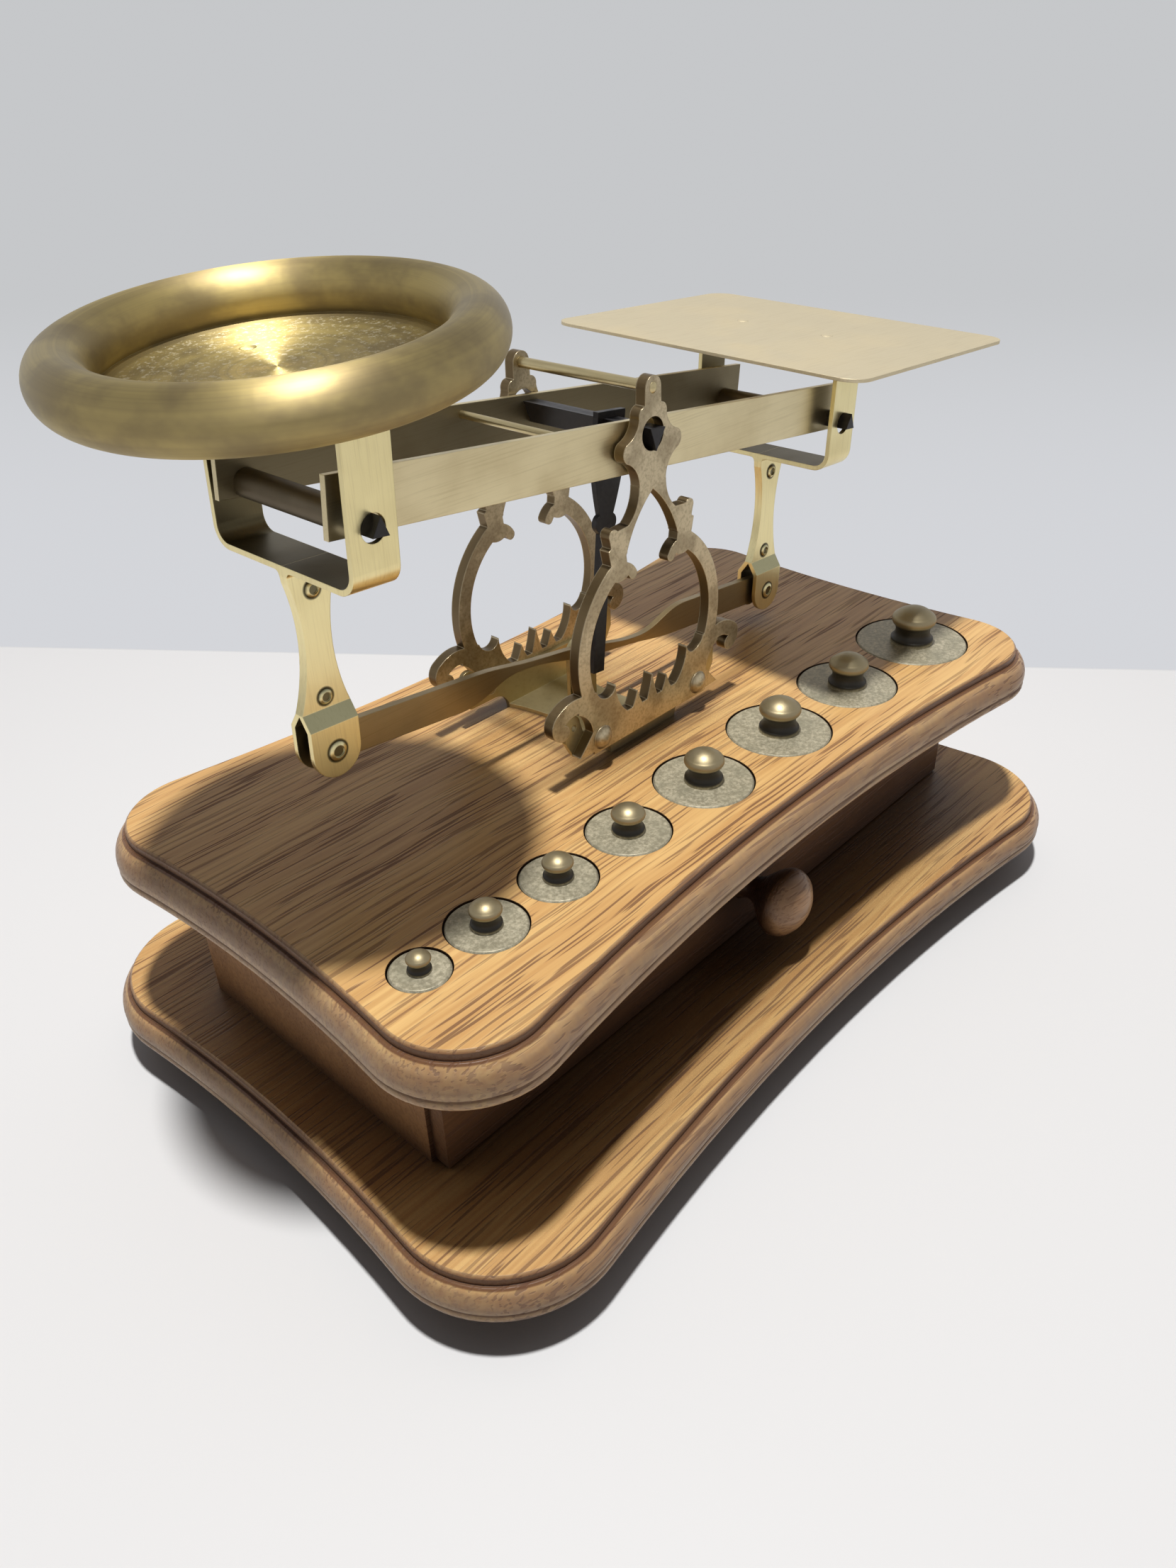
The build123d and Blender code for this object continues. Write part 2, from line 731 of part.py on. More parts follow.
def strap_outline(top):
    half = make_face(
        Curve()
        + [
            Line((0, top), (arm_half, top)),
            Line((arm_half, top), (arm_half, -web_below - 1.0)),
            Line((arm_half, -web_below - 1.0), (stem_top_half, -web_below - 2.6)),
            ThreePointArc(
                (stem_top_half, -web_below - 2.6),
                (stem_waist_half, -(web_below + shoulder_top) / 2 - 2.0),
                (stem_foot_half, -shoulder_top),
            ),
            Line((stem_foot_half, -shoulder_top), (clevis_r, -clevis_drop)),
            ThreePointArc(
                (clevis_r, -clevis_drop),
                (clevis_r * sqrt(0.5), -clevis_drop - clevis_r * sqrt(0.5)),
                (0, -clevis_drop - clevis_r),
            ),
            Line((0, -clevis_drop - clevis_r), (0, top)),
        ]
    )
    return half + mirror(half, Plane.YZ)


def drilled(radius, y0, y1, z):
    # the round bar that a drill along Y takes away
    return Pos(0, y0, z) * Rot(-90, 0, 0) * extrude(Circle(radius), amount=y1 - y0)


def strap_body(top):
    # side view of the bent strap, widened along X
    t = sheet
    y_stem, y_cheek, y_arm = 0.0, cheek_outer_y, arm_outer_y
    low = -(clevis_drop + clevis_r + 1)
    web_top = -web_below + t
    bend = arm_bend
    inner_bend = arm_bend - t
    stem_r = stem_bend
    side_view = make_face(
        Curve()
        + [
            Line((y_cheek, low), (y_cheek - t, low)),
            Line((y_cheek - t, low), (y_cheek - t, -shoulder_foot - 0.4)),
            Line((y_cheek - t, -shoulder_foot - 0.4), (y_stem, -shoulder_top - 0.4)),
            Line((y_stem, -shoulder_top - 0.4), (y_stem, web_top)),
            Line((y_stem, web_top), (y_arm - bend, web_top)),
            ThreePointArc(
                (y_arm - bend, web_top),
                (y_arm - bend + inner_bend * sin(radians(45)), web_top + inner_bend * (1 - cos(radians(45)))),
                (y_arm - t, web_top + inner_bend),
            ),
            Line((y_arm - t, web_top + inner_bend), (y_arm - t, top)),
            Line((y_arm - t, top), (y_arm, top)),
            Line((y_arm, top), (y_arm, web_top + inner_bend)),
            ThreePointArc(
                (y_arm, web_top + inner_bend),
                (y_arm - bend + bend * sin(radians(45)), -web_below + bend * (1 - cos(radians(45)))),
                (y_arm - bend, -web_below),
            ),
            Line((y_arm - bend, -web_below), (t + stem_r, -web_below)),
            ThreePointArc(
                (t + stem_r, -web_below),
                (t + stem_r * (1 - sin(radians(45))), -web_below - stem_r * (1 - cos(radians(45)))),
                (t, -web_below - stem_r),
            ),
            Line((t, -web_below - stem_r), (t, -shoulder_top)),
            Line((t, -shoulder_top), (y_cheek, -shoulder_foot)),
            Line((y_cheek, -shoulder_foot), (y_cheek, low)),
        ]
    )
    width = 4 * arm_half
    bent = Pos(-width / 2, 0, 0) * extrude(Plane.YZ * side_view, amount=width)
    cut = in_xz(strap_outline(top), -sheet, arm_outer_y + 2 * sheet)
    body = bent & cut
    for drop in stirrup_rivet_drops:
        body -= drilled(stirrup_rivet_r + rivet_fit, -cheek_outer_y, 2 * cheek_outer_y, -drop)
    body -= drilled(clevis_pin_r + rivet_fit, -cheek_outer_y, 2 * cheek_outer_y, -clevis_drop)
    hole_z = -stirrup_hole_r + bearing_rise
    body -= drilled(stirrup_hole_r, arm_outer_y - 2 * sheet, arm_outer_y + sheet, hole_z)
    return body


def slab(low, high, place):
    span = 4 * arm_length
    return place * Pos(0, 0, (low + high) / 2) * Box(span, span, high - low)


def foot_rivet_place(side, rise, shift):
    # above the leaning arm's middle, in the carrier's own frame
    return Pos(rise * sin(lean) - shift + foot_rivet_x, side * foot_rivet_y, 0)


def upright_bar(radius, low, high):
    return Pos(0, 0, low) * extrude(Circle(radius), amount=high - low)


def stirrup(side_name, place, carrier_place, rise, shift, under, over):
    # under and over are the carrier sheet's lower and upper faces in its own frame
    top = rise + strap_spare
    rear = Rot(0, stirrup_lean, 0) * strap_body(top)
    below = slab(-2 * clevis_drop, under, carrier_place)
    layer = slab(under - sheet, under, carrier_place)
    for word, side, body in (("front", -1, mirror(rear, Plane.XZ)), ("rear", 1, rear)):
        # the arm's top is turned in under the carrier and riveted to it
        foot_y = sorted((side * foot_rivet_y, side * (arm_outer_y - sheet / 2)))
        foot = block(-arm_half, arm_half, foot_y[0], foot_y[1], 0, 2 * top)
        foot += Pos(0, side * foot_rivet_y, 0) * upright_bar(arm_half, 0, 2 * top)
        strap = (body & below) + (Rot(0, stirrup_lean, 0) * foot & layer)
        rivet_place = carrier_place * foot_rivet_place(side, rise, shift)
        strap -= rivet_place * upright_bar(foot_rivet_r + rivet_fit, under - 2 * sheet, over)
        save("%s_strap_%s" % (side_name, word), place * strap)
        stud = domed_pin(foot_rivet_r, foot_rivet_r, foot_rivet_head, under - sheet, over, "front rear")
        save("%s_foot_rivet_%s" % (side_name, word), place * rivet_place * Rot(90, 0, 0) * stud)
    turn = place * Rot(0, stirrup_lean, 0)
    for word, drop in zip(("upper", "lower"), stirrup_rivet_drops):
        stud = eyelet(stirrup_rivet_r, stirrup_rivet_head_r, stirrup_rivet_head, sheet)
        save("%s_%s_rivet" % (side_name, word), turn * Pos(0, 0, -drop) * stud)
    pin = eyelet(clevis_pin_r, clevis_head_r, stirrup_rivet_head, cheek_outer_y)
    save(side_name + "_clevis_pin", turn * Pos(0, 0, -clevis_drop) * pin)


def riveted(carrier, rise, shift):
    # the sheet with a hole for each foot's rivet
    for side in (-1, 1):
        carrier -= foot_rivet_place(side, rise, shift) * upright_bar(foot_rivet_r + rivet_fit, -rise, rise)
    return carrier


def pan():
    # spun dish whose rim is rolled outwards over a round section, open underneath
    r, w = pan_roll_r, pan_wall
    meets = asin(pan_floor_drop / r)

    def on(radius, angle):
        return (pan_ring_r + radius * cos(radians(angle)), radius * sin(radians(angle)))

    roll_start, roll_end = 192.0 + degrees(meets), -62.0
    middle = (roll_start + roll_end) / 2
    roll = make_face(
        Curve()
        + [
            ThreePointArc(on(r, roll_start), on(r, middle), on(r, roll_end)),
            Line(on(r, roll_end), on(r - w, roll_end)),
            ThreePointArc(on(r - w, roll_end), on(r - w, middle), on(r - w, roll_start)),
            Line(on(r - w, roll_start), on(r, roll_start)),
        ]
    )
    reach = pan_ring_r - r * cos(meets) + w
    floor = Pos(reach / 2, -pan_floor_drop - w / 2) * Rectangle(reach, w)
    section = roll + floor
    return revolve(Plane.XZ * section, axis=Axis.Z)


pan_turn = Rot(pan_turn_x, 0, 0) * Rot(0, pan_turn_y, 0)
pan_place = Pos(pan_shift, 0, pan_rise) * pan_turn
stirrup("left", left_place, pan_place, pan_rise, pan_shift, -pan_floor_drop - pan_wall, -pan_floor_drop)
save("round_pan", left_place * pan_place * riveted(pan(), pan_rise, pan_shift))

tray_place = Pos(0, 0, tray_rise) * Rot(tray_turn_x, 0, 0) * Rot(0, tray_turn_y, 0)
tray = extrude(RectangleRounded(tray_x, tray_y, tray_corner), amount=-tray_thick)
stirrup("right", right_place, tray_place, tray_rise, 0, -tray_thick, 0)
save("oblong_plate", right_place * tray_place * riveted(tray, tray_rise, 0))

# Lower stay


def stay_face():
    h = stay_half_height
    a = arm_length
    upper = [(-a, h), (-a * 0.46, h), (-a * 0.28, h * 0.72), (0, stay_waist), (a * 0.255, -h * 0.28)]
    upper += [(a * 0.345, -h * 0.1), (a * 0.435, h * 0.62), (a * 0.535, h), (a, h)]
    top = Curve() + [Line(upper[0], upper[1])]
    top += Spline(*upper[1:8], tangents=[(1, 0), (1, 0)])
    top += Line(upper[7], upper[8])
    bottom = Rot(0, 0, 180) * top
    left_cap = ThreePointArc((-arm_length, h), (-arm_length - h, 0), (-arm_length, -h))
    right_cap = ThreePointArc((arm_length, h), (arm_length + h, 0), (arm_length, -h))
    face = make_face(top + bottom + left_cap + right_cap)
    face += Circle(stay_eye_r)
    face -= Circle(stay_pin_r + stay_pin_gap)
    return face


ends = Pos(-arm_length, -end_edge_drop) * Circle(clevis_pin_r + open_pivot_gap)
ends += Pos(arm_length, -end_edge_drop) * Circle(clevis_pin_r + open_pivot_gap)
save("lower_stay", stay_place * in_xz(stay_face() - ends, -stay_thick / 2, stay_thick))


def stay_bracket():
    # fork that stands on the base plate
    inner = stay_thick / 2 + bracket_gap
    outer = inner + bracket_sheet
    height = stay_z - plate_sheet
    side = Rectangle(2 * bracket_half, height, align=(Align.CENTER, Align.MIN))
    side += Pos(0, height) * Circle(bracket_half)
    side -= Pos(0, height) * Circle(stay_pin_r + rivet_fit)
    fork = in_xz(side, inner, bracket_sheet) + in_xz(side, -outer, bracket_sheet)
    fork += Pos(0, 0, bracket_sheet / 2) * Box(2 * bracket_half, 2 * outer, bracket_sheet)
    return Pos(stay_x, 0, plate_sheet) * fork


save("stay_bracket", mech * stay_bracket())
fork_outer = stay_thick / 2 + bracket_gap + bracket_sheet
stay_pin = domed_pin(stay_pin_r, pin_head_r, pin_head, -fork_outer, fork_outer, "front rear")
save("stay_pin", mech * Pos(stay_x, 0, stay_z) * stay_pin)

print("clevis pin centres at rest, from the mechanism's middle")
for x, z in (left_edge, right_edge):
    print(round(x + hang[0], 2), round(centre_edge_z + z + hang[1], 2))
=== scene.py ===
# %% [markdown]
# # A letter balance on an oak base
#
# The balance has a moulded oak base with a drawer, a row of disc weights sunk in its top, two
# scroll-shaped brass side frames, and a rocking beam that carries a round pan and an oblong plate.
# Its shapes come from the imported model, down to the rivets, and nothing is added to them here. So
# this lesson is about light and finishes: varnished oak, brushed sheet brass, cast brass gone
# brown, and black steel.

import math

import bpy
from mathutils import Matrix, Vector


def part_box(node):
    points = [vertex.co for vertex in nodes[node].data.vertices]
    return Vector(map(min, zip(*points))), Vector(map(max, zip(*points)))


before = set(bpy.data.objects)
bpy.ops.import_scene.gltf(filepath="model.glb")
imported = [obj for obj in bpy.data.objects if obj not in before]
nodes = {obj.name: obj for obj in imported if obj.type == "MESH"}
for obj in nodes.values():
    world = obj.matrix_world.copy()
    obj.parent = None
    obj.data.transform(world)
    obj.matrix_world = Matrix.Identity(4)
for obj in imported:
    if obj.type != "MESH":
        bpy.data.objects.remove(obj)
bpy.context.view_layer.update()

# %% [markdown]
# ## Camera
#
# The picture was taken from the left front corner, looking down at about thirty-three degrees,
# with the camera rolled a little to one side. A camera can be placed by hand and turned until it
# looks right, but here its place, heading, height and roll are known numbers, so its three
# directions are worked out from the angles and written straight into its matrix.

# %% Place and lens of the camera
camera_place = Vector((-0.1972, -0.1756, 0.2172))
picture_long_side = 2212
focal_length_pixels = 1618.14

camera_data = bpy.data.cameras.new("camera")
camera_data.sensor_width = 36.0
camera_data.lens = camera_data.sensor_width * focal_length_pixels / picture_long_side
camera_data.clip_start = 0.01
camera_data.clip_end = 20.0
camera = bpy.data.objects.new("camera", camera_data)
bpy.context.scene.collection.objects.link(camera)
bpy.context.scene.camera = camera
print("lens", round(camera_data.lens, 2), "mm")

# %% Turn the camera
heading = math.radians(-46.48)
height_angle = math.radians(32.69)
roll = math.radians(1.82)

backwards = Vector((
    math.sin(heading) * math.cos(height_angle),
    -math.cos(heading) * math.cos(height_angle),
    math.sin(height_angle),
))
level_right = Vector((math.cos(heading), math.sin(heading), 0.0))
level_down = level_right.cross(backwards)
picture_right = math.cos(roll) * level_right + math.sin(roll) * level_down
picture_down = -math.sin(roll) * level_right + math.cos(roll) * level_down
turn = Matrix((picture_right, -picture_down, backwards)).transposed()
camera.matrix_world = Matrix.Translation(camera_place) @ turn.to_4x4()
print("the camera looks along", [round(v, 3) for v in -backwards])

# %% [markdown]
# ## Nodes in few words
#
# Each finish below is a little graph of nodes. Adding nodes by hand in code soon hides the idea
# behind the wiring, so one helper adds a node and sets or links its inputs. The others name the
# steps that come up again and again: a sum, a slope between two values, and a blend of colours.
# They work on a material and on the world alike, because both hold a node tree.

# %% Add and link nodes
def new_finish(name):
    finish = bpy.data.materials.new(name)
    finish.use_nodes = True
    return finish, finish.node_tree.nodes["Principled BSDF"]


def connect(finish, node, inputs):
    """Links the sockets among the inputs, and writes the plain values into the node."""
    for key, value in inputs.items():
        if isinstance(value, bpy.types.NodeSocket):
            finish.node_tree.links.new(value, node.inputs[key])
        else:
            node.inputs[key].default_value = value


def add(finish, kind, inputs=None, **settings):
    node = finish.node_tree.nodes.new(kind)
    for name, value in settings.items():
        setattr(node, name, value)
    connect(finish, node, inputs or {})
    return node


print("nodes can be added and linked")

# %% Sums, slopes and blends
def sums(finish, operation, a, b=0.0, c=0.0):
    return add(finish, "ShaderNodeMath", {0: a, 1: b, 2: c}, operation=operation).outputs[0]


def times(finish, first, *others):
    for other in others:
        first = sums(finish, "MULTIPLY", first, other)
    return first


def scaled(finish, value, gain, start):
    """The value times a gain, added to a start."""
    return sums(finish, "MULTIPLY_ADD", value, gain, start)


def opposite(finish, value):
    """1 where the value is 0, and 0 where it is 1."""
    return sums(finish, "SUBTRACT", 1.0, value)


def between(finish, value, low, high):
    """0 below low, 1 above high, and a smooth slope in the middle."""
    wanted = {"Value": value, "From Min": low, "From Max": high}
    ramp = add(finish, "ShaderNodeMapRange", wanted, interpolation_type="SMOOTHSTEP")
    return ramp.outputs["Result"]


def blend(finish, amount, first, second):
    """The first colour at 0 and the second at 1."""
    mix = add(finish, "ShaderNodeMix", data_type="RGBA")
    sockets = {"Factor": 0, "A": 6, "B": 7}
    for key, value in (("Factor", amount), ("A", first), ("B", second)):
        if isinstance(value, tuple):
            value = (*value, 1.0)
        connect(finish, mix, {sockets[key]: value})
    return mix.outputs[2]


print("sums and blends ready")

# %% [markdown]
# ## Places on the balance
#
# A pattern needs to know where it is. Unwrapping every piece onto a flat sheet would be long work
# and would break the grain at each seam. Object coordinates give the place in metres inside the
# solid itself, so a board has its grain right through, and the pattern moves with the piece.

# %% Places and lengths
def moved(finish, operation, place, by):
    node = add(finish, "ShaderNodeVectorMath", {0: place, 1: by}, operation=operation)
    return node.outputs[0]


def where(finish, scale=(1, 1, 1), centre=(0, 0, 0)):
    """Place on the balance in metres, measured from a centre and then stretched."""
    place = add(finish, "ShaderNodeTexCoord").outputs["Object"]
    return moved(finish, "MULTIPLY", moved(finish, "SUBTRACT", place, centre), scale)


def length_of(finish, vector):
    node = add(finish, "ShaderNodeVectorMath", {0: vector}, operation="LENGTH")
    return node.outputs["Value"]


def axes_of(finish, vector):
    return add(finish, "ShaderNodeSeparateXYZ", {0: vector}).outputs


print("places ready")

# %% [markdown]
# ## Table and wall
#
# The balance stands on a white table close to a pale grey wall. A real wall would hide the
# balance from behind, so the floor is one large sheet that turns grey where the wall would
# begin. Seen from the camera that line falls where the table ends in the picture. A wall that
# stands up is lit evenly, and a floor is not, so the grey part glows by itself for the eye, and
# only there: the Light Path node tells the rays that look at it from those that carry light. Far
# from the lamp the table would fade to black, so there it glows for the eye too.

# %% Colours and line of the wall
wall_near = (0.66, 0.67, 0.70)
wall_far = (0.565, 0.575, 0.59)
wall_paint = (0.6, 0.6, 0.6)
wall_fade = 0.9
wall_left_end = Vector((-0.0374, 0.3339))
wall_right_end = Vector((0.2632, -0.0662))
line_softness = 0.001

table_white = (0.80, 0.795, 0.79)
table_far_white = (0.80, 0.79, 0.785)
glow_from, glow_full = 0.45, 1.6


def looked_at(finish):
    """1 for rays that show a surface to the eye, straight or in metal, and 0 for the others."""
    path = add(finish, "ShaderNodeLightPath").outputs
    mirrored = sums(finish, "MAXIMUM", path["Is Glossy Ray"], path["Is Transmission Ray"])
    return sums(finish, "MAXIMUM", path["Is Camera Ray"], mirrored)


def past_the_line(finish):
    """Metres beyond the line where the wall begins."""
    along = (wall_right_end - wall_left_end).normalized()
    away = Vector((-along.y, along.x))
    place = axes_of(finish, where(finish))
    reach = scaled(finish, place[1], away.y, times(finish, place[0], away.x))
    return sums(finish, "SUBTRACT", reach, wall_left_end.dot(away))


print("the wall's line is", round((wall_right_end - wall_left_end).length, 3), "m long")

# %% Finish of the table and the wall
def table_and_wall():
    finish, shader = new_finish("table_and_wall")
    past = past_the_line(finish)
    behind = between(finish, past, -line_softness, line_softness)
    shader.inputs["Roughness"].default_value = 0.55
    shader.inputs["Specular IOR Level"].default_value = 0.25
    connect(finish, shader, {"Base Color": blend(finish, behind, table_white, wall_paint)})

    wall = blend(finish, between(finish, past, 0.0, wall_fade), wall_near, wall_far)
    glow_colour = blend(finish, behind, table_far_white, wall)
    glow = add(finish, "ShaderNodeEmission", {"Color": glow_colour}).outputs[0]

    distance = length_of(finish, where(finish))
    seen = add(finish, "ShaderNodeLightPath").outputs["Is Camera Ray"]
    far_table = times(finish, between(finish, distance, glow_from, glow_full), seen)
    wall_glow = times(finish, behind, looked_at(finish))
    amount = sums(finish, "MAXIMUM", wall_glow, far_table)
    sockets = {0: amount, 1: shader.outputs[0], 2: glow}
    both = add(finish, "ShaderNodeMixShader", sockets).outputs[0]
    connect(finish, finish.node_tree.nodes["Material Output"], {"Surface": both})
    return finish


print("the table glows from", glow_from, "to", glow_full, "m away")

# %% Lay the floor
floor_half = 6.0
floor_turns = ((-1, -1), (1, -1), (1, 1), (-1, 1))
floor_corners = [(x * floor_half, y * floor_half, 0.0) for x, y in floor_turns]
floor_mesh = bpy.data.meshes.new("floor")
floor_mesh.from_pydata(floor_corners, [], [(0, 1, 2, 3)])
floor_mesh.materials.append(table_and_wall())
floor = bpy.data.objects.new("floor", floor_mesh)
bpy.context.scene.collection.objects.link(floor)
print("floor", floor_half * 2, "m wide")

# %% [markdown]
# ## The lamp
#
# One lamp hangs almost straight above: the round shadow of the pan on the oak, and the narrow
# shadow that the raised base throws on the table, say where. A sun lamp stands for light from very
# far away, and a large soft box would wash both shadows out. A small disc, hung as high as a
# ceiling lamp, keeps them clear and gives them a slightly soft rim.

# %% Hang the lamp
lamp_place = Vector((-0.056, -0.027, 1.3545))
lamp_data = bpy.data.lights.new("ceiling_lamp", "AREA")
lamp_data.shape = "DISK"
lamp_data.size = 0.09
lamp_data.energy = 17.0
ceiling_lamp = bpy.data.objects.new("ceiling_lamp", lamp_data)
ceiling_lamp.location = lamp_place
bpy.context.scene.collection.objects.link(ceiling_lamp)
print("lamp at", [round(v, 3) for v in lamp_place], "m, shining down")

# %% [markdown]
# ## The room
#
# The pale wall behind fills in the shade, and weakly, because the shadows are deep, most of all
# under the front of the top board, which looks away from the wall. More lamps could do this, but
# the world does it with one slope of brightness. Metal mirrors the room, so for mirrored rays the
# world is a pale wall all round and a dimmer ceiling.

# %% Light and colours of the room
wall_side = (0.8, 0.6)
fill_colour = (1.0, 0.94, 0.95, 1.0)
fill_from_front = 0.055
fill_from_wall = 0.27
ceiling_grey = (0.36, 0.36, 0.37)


def room():
    world = bpy.data.worlds.new("room")
    world.use_nodes = True
    world.node_tree.nodes.clear()
    looking = axes_of(world, add(world, "ShaderNodeTexCoord").outputs["Generated"])

    to_wall = scaled(world, looking[1], wall_side[1], times(world, looking[0], wall_side[0]))
    towards = between(world, to_wall, -0.3, 0.5)
    strength = scaled(world, towards, fill_from_wall, fill_from_front)
    fill = add(world, "ShaderNodeBackground", {"Color": fill_colour, "Strength": strength})

    high_up = between(world, looking[2], 0.25, 0.95)
    mirrored = blend(world, high_up, wall_near, ceiling_grey)
    camera_ray = add(world, "ShaderNodeLightPath").outputs["Is Camera Ray"]
    seen_colour = blend(world, camera_ray, mirrored, wall_far)
    seen = add(world, "ShaderNodeBackground", {"Color": seen_colour})

    sockets = {0: looked_at(world), 1: fill.outputs[0], 2: seen.outputs[0]}
    both = add(world, "ShaderNodeMixShader", sockets).outputs[0]
    add(world, "ShaderNodeOutputWorld", {"Surface": both})
    return world


bpy.context.scene.world = room()
bpy.context.scene.view_settings.view_transform = "Standard"

# %% [markdown]
# ## Grain of the oak
#
# Oak shows three things at once: broad soft bands where the tree grew faster or slower, fine
# straight streaks, and thin dark pores, open tubes cut lengthwise, that run along the board. A
# photograph of a board would repeat itself and stop at the edges, so all three are noise,
# stretched along X because the grain runs along the base. A slow sideways sway keeps them from
# being ruled lines. Noise rarely leaves the range from 0.3 to 0.7, so a slope that starts at 0.545
# keeps little more than its peaks, and those are the pores. They crowd together in the bands. On
# the short ends the same noise is cut across, so there the pores are dots, as on real end grain.

# %% Noise along the boards
sway_scale = (11, 11, 11)
sway_width = 0.007
band_scale = (8, 120, 70)
streak_scale = (20, 800, 800)
pore_scale = (42, 1450, 1450)


def noise(finish, place, detail=2.0, roughness=0.5):
    wanted = {"Vector": place, "Scale": 1.0, "Detail": detail, "Roughness": roughness}
    return add(finish, "ShaderNodeTexNoise", wanted).outputs["Fac"]


def grain_place(finish, scale, shift):
    """Place along the boards, stretched along the grain and swaying a little across it."""
    sway = noise(finish, where(finish, sway_scale, (shift, 0, 0)))
    sideways = scaled(finish, sway, sway_width, -sway_width / 2)
    lean = add(finish, "ShaderNodeCombineXYZ", {1: sideways}).outputs[0]
    place = add(finish, "ShaderNodeTexCoord").outputs["Object"]
    place = moved(finish, "ADD", place, lean)
    place = moved(finish, "ADD", place, (shift, shift, 0))
    return moved(finish, "MULTIPLY", place, scale)


def faces(finish):
    """The direction in which a surface looks."""
    return axes_of(finish, add(finish, "ShaderNodeNewGeometry").outputs["Normal"])


print("one sway is about", round(1000 / sway_scale[0]), "mm long")

# %% Colour of the grain
def oak_grain(finish, pale, deep, pore, shift):
    """The colour of the wood, and how open its pores are from 0 to 1."""
    band_noise = noise(finish, grain_place(finish, band_scale, shift), detail=3.0)
    bands = between(finish, band_noise, 0.36, 0.66)
    streak = noise(finish, grain_place(finish, streak_scale, shift))
    fine = noise(finish, grain_place(finish, pore_scale, shift), detail=1.0, roughness=0.4)

    end_grain = between(finish, sums(finish, "ABSOLUTE", faces(finish)[0]), 0.5, 0.9)
    in_bands = scaled(finish, bands, 0.5, 0.5)
    crowd = times(finish, in_bands, scaled(finish, end_grain, -0.5, 1.0))
    open_pore = times(finish, between(finish, fine, 0.545, 0.63), crowd)

    colour = blend(finish, times(finish, bands, 0.5), pale, deep)
    streaks = times(finish, between(finish, streak, 0.38, 0.64), 0.6)
    colour = blend(finish, streaks, colour, deep)
    return blend(finish, times(finish, open_pore, 0.8), colour, pore), open_pore


print("grain ready")

# %% [markdown]
# ## Moulded edges and painted shade
#
# The moulded edges of the two boards are painted a greyish dark brown: painted shade with a painted
# grey sheen on the faces that don't look up or down. Painted shade also lies dark on the step below
# the top, in the two grooves, and faintly along the middle of the round. The edges could be painted
# by hand, but the shape tells where they are: an edge is what doesn't look up or down, and each of
# those dark lines runs at one height. The wood under the top board is darkened as well, as painted
# shade. Ambient Occlusion finds such places, because it measures how much of the open air a surface
# sees.

# %% Painted shade and sheen on the edges, and painted shade under the top board
# The first colour is painted shade with a grey sheen for the moulded edges, and the near-black
# brown is painted shade under the top board.
edge_shade_and_sheen = (0.29, 0.195, 0.14)
stroke_scale = (600, 600, 100)
under_board_shade = (0.030, 0.012, 0.007)
shelter_distance = 0.06


def moulded_edge(finish, colour, pore, edge_shading, shade_lines):
    flatness = between(finish, sums(finish, "ABSOLUTE", faces(finish)[2]), 0.6, 0.97)
    strokes = between(finish, noise(finish, where(finish, stroke_scale), detail=3.0), 0.38, 0.64)
    uneven = scaled(finish, strokes, 0.2, 0.8)
    # Faces that don't look up or down get painted shade with a grey sheen.
    edge_shade_amount = times(finish, opposite(finish, flatness), edge_shading, uneven)
    colour = blend(finish, edge_shade_amount, colour, edge_shade_and_sheen)
    heights = axes_of(finish, where(finish))[2]
    # Dark lines at set heights: painted shade on the step, in the crease at its foot, in the quirk
    # and along the middle of the round.
    for height, half_width, amount in shade_lines:
        away = sums(finish, "ABSOLUTE", sums(finish, "SUBTRACT", heights, height))
        near = opposite(finish, between(finish, away, half_width * 0.5, half_width))
        colour = blend(finish, times(finish, near, amount), colour, pore)
    return colour


# Painted shade: wood that sees little open air, such as that under the top board, is darkened.
def shade_under_boards(finish, colour):
    wanted = {"Distance": shelter_distance}
    open_air = add(finish, "ShaderNodeAmbientOcclusion", wanted, samples=6).outputs["AO"]
    shaded_amount = between(finish, opposite(finish, open_air), 0.3, 0.62)
    return blend(finish, times(finish, shaded_amount, 0.92), colour, under_board_shade)


print("shelter is looked for within", shelter_distance * 1000, "mm")

# %% [markdown]
# ## Varnished oak
#
# The shader puts grain, edges and shelter together. The pores are also a little sunken and duller
# than the varnish around them, so the same noise drives the bump and the roughness. A thin clear
# coat is the varnish. Sharp edges could be cut round in the mesh, but the Bevel node rounds them
# for the light alone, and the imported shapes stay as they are.

# %% Bump over rounded edges
edge_radius = 0.00025


def rounded(finish, radius):
    """The normal of a surface whose sharp edges are rounded for the light alone."""
    return add(finish, "ShaderNodeBevel", {"Radius": radius}, samples=4).outputs[0]


def grooves(finish, height, strength, depth):
    """Bump from a pattern, laid over edges that are rounded a little."""
    eased = rounded(finish, edge_radius)
    wanted = {"Height": height, "Strength": strength, "Distance": depth, "Normal": eased}
    return add(finish, "ShaderNodeBump", wanted).outputs[0]


print("edges look rounded by", edge_radius * 1000, "mm")

# %% Oak for any board
golden = (0.80, 0.51, 0.20)
tan = (0.57, 0.295, 0.10)
pore_brown = (0.15, 0.060, 0.025)


def oak(name, pale, deep, roughness, coat, shift, pore=pore_brown, edge_shading=0.0, shade_lines=()):
    finish, shader = new_finish(name)
    colour, open_pore = oak_grain(finish, pale, deep, pore, shift)
    colour = moulded_edge(finish, colour, pore, edge_shading, shade_lines)
    connect(finish, shader, {
        "Base Color": shade_under_boards(finish, colour),
        "Roughness": scaled(finish, open_pore, 0.25, roughness),
        "Normal": grooves(finish, opposite(finish, open_pore), strength=0.35, depth=0.0003),
    })
    shader.inputs["Specular IOR Level"].default_value = 0.36
    shader.inputs["Coat Weight"].default_value = coat
    shader.inputs["Coat Roughness"].default_value = 0.25
    return finish


def use(names, finish):
    for name in names:
        piece = nodes[name]
        piece.data.materials.clear()
        piece.data.materials.append(finish)
    print(finish.name, "on", ", ".join(names))


print("oak ready, with pores", pore_brown)
